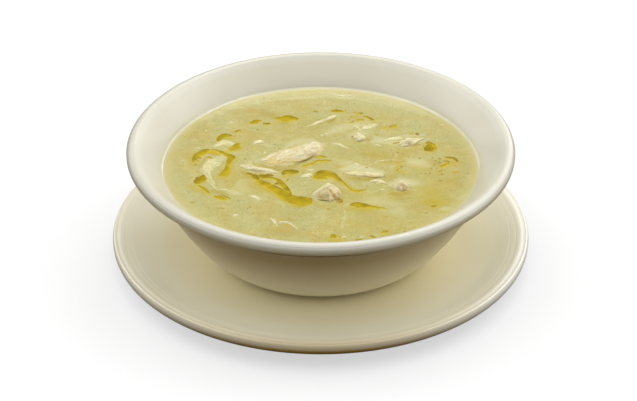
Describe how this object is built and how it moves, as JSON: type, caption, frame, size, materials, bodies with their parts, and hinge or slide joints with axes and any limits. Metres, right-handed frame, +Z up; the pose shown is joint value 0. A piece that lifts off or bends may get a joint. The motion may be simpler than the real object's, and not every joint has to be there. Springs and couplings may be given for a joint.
{
  "type": "bowl of chicken broth",
  "caption": "Bowl of cloudy chicken broth with pulled chicken and drops of oil, in an ivory porcelain bowl with a rolled lip, on its matching underplate.",
  "frame": {"origin": "on the table, under the middle of the underplate's foot ring", "axes": "+Z up, +X to the right and -Y towards the viewer of the picture"},
  "size_m": [0.1852, 0.1852, 0.0566],
  "materials": {
    "porcelain": "glossy ivory glaze",
    "broth": "wet and cloudy",
    "chicken": "moist"
  },
  "bodies": {
    "root": {"underplate": "porcelain", "bowl": "porcelain", "broth": "broth", "chicken_large_chunk": "chicken", "chicken_long_strip": "chicken", "chicken_front_chunk": "chicken", "chicken_flat_strip": "chicken", "chicken_small_wedge": "chicken", "chicken_right_chunk": "chicken", "chicken_crooked_piece": "chicken", "chicken_short_piece": "chicken", "chicken_back_sliver": "chicken", "chicken_left_shred": "chicken"}
  },
  "joints": []
}
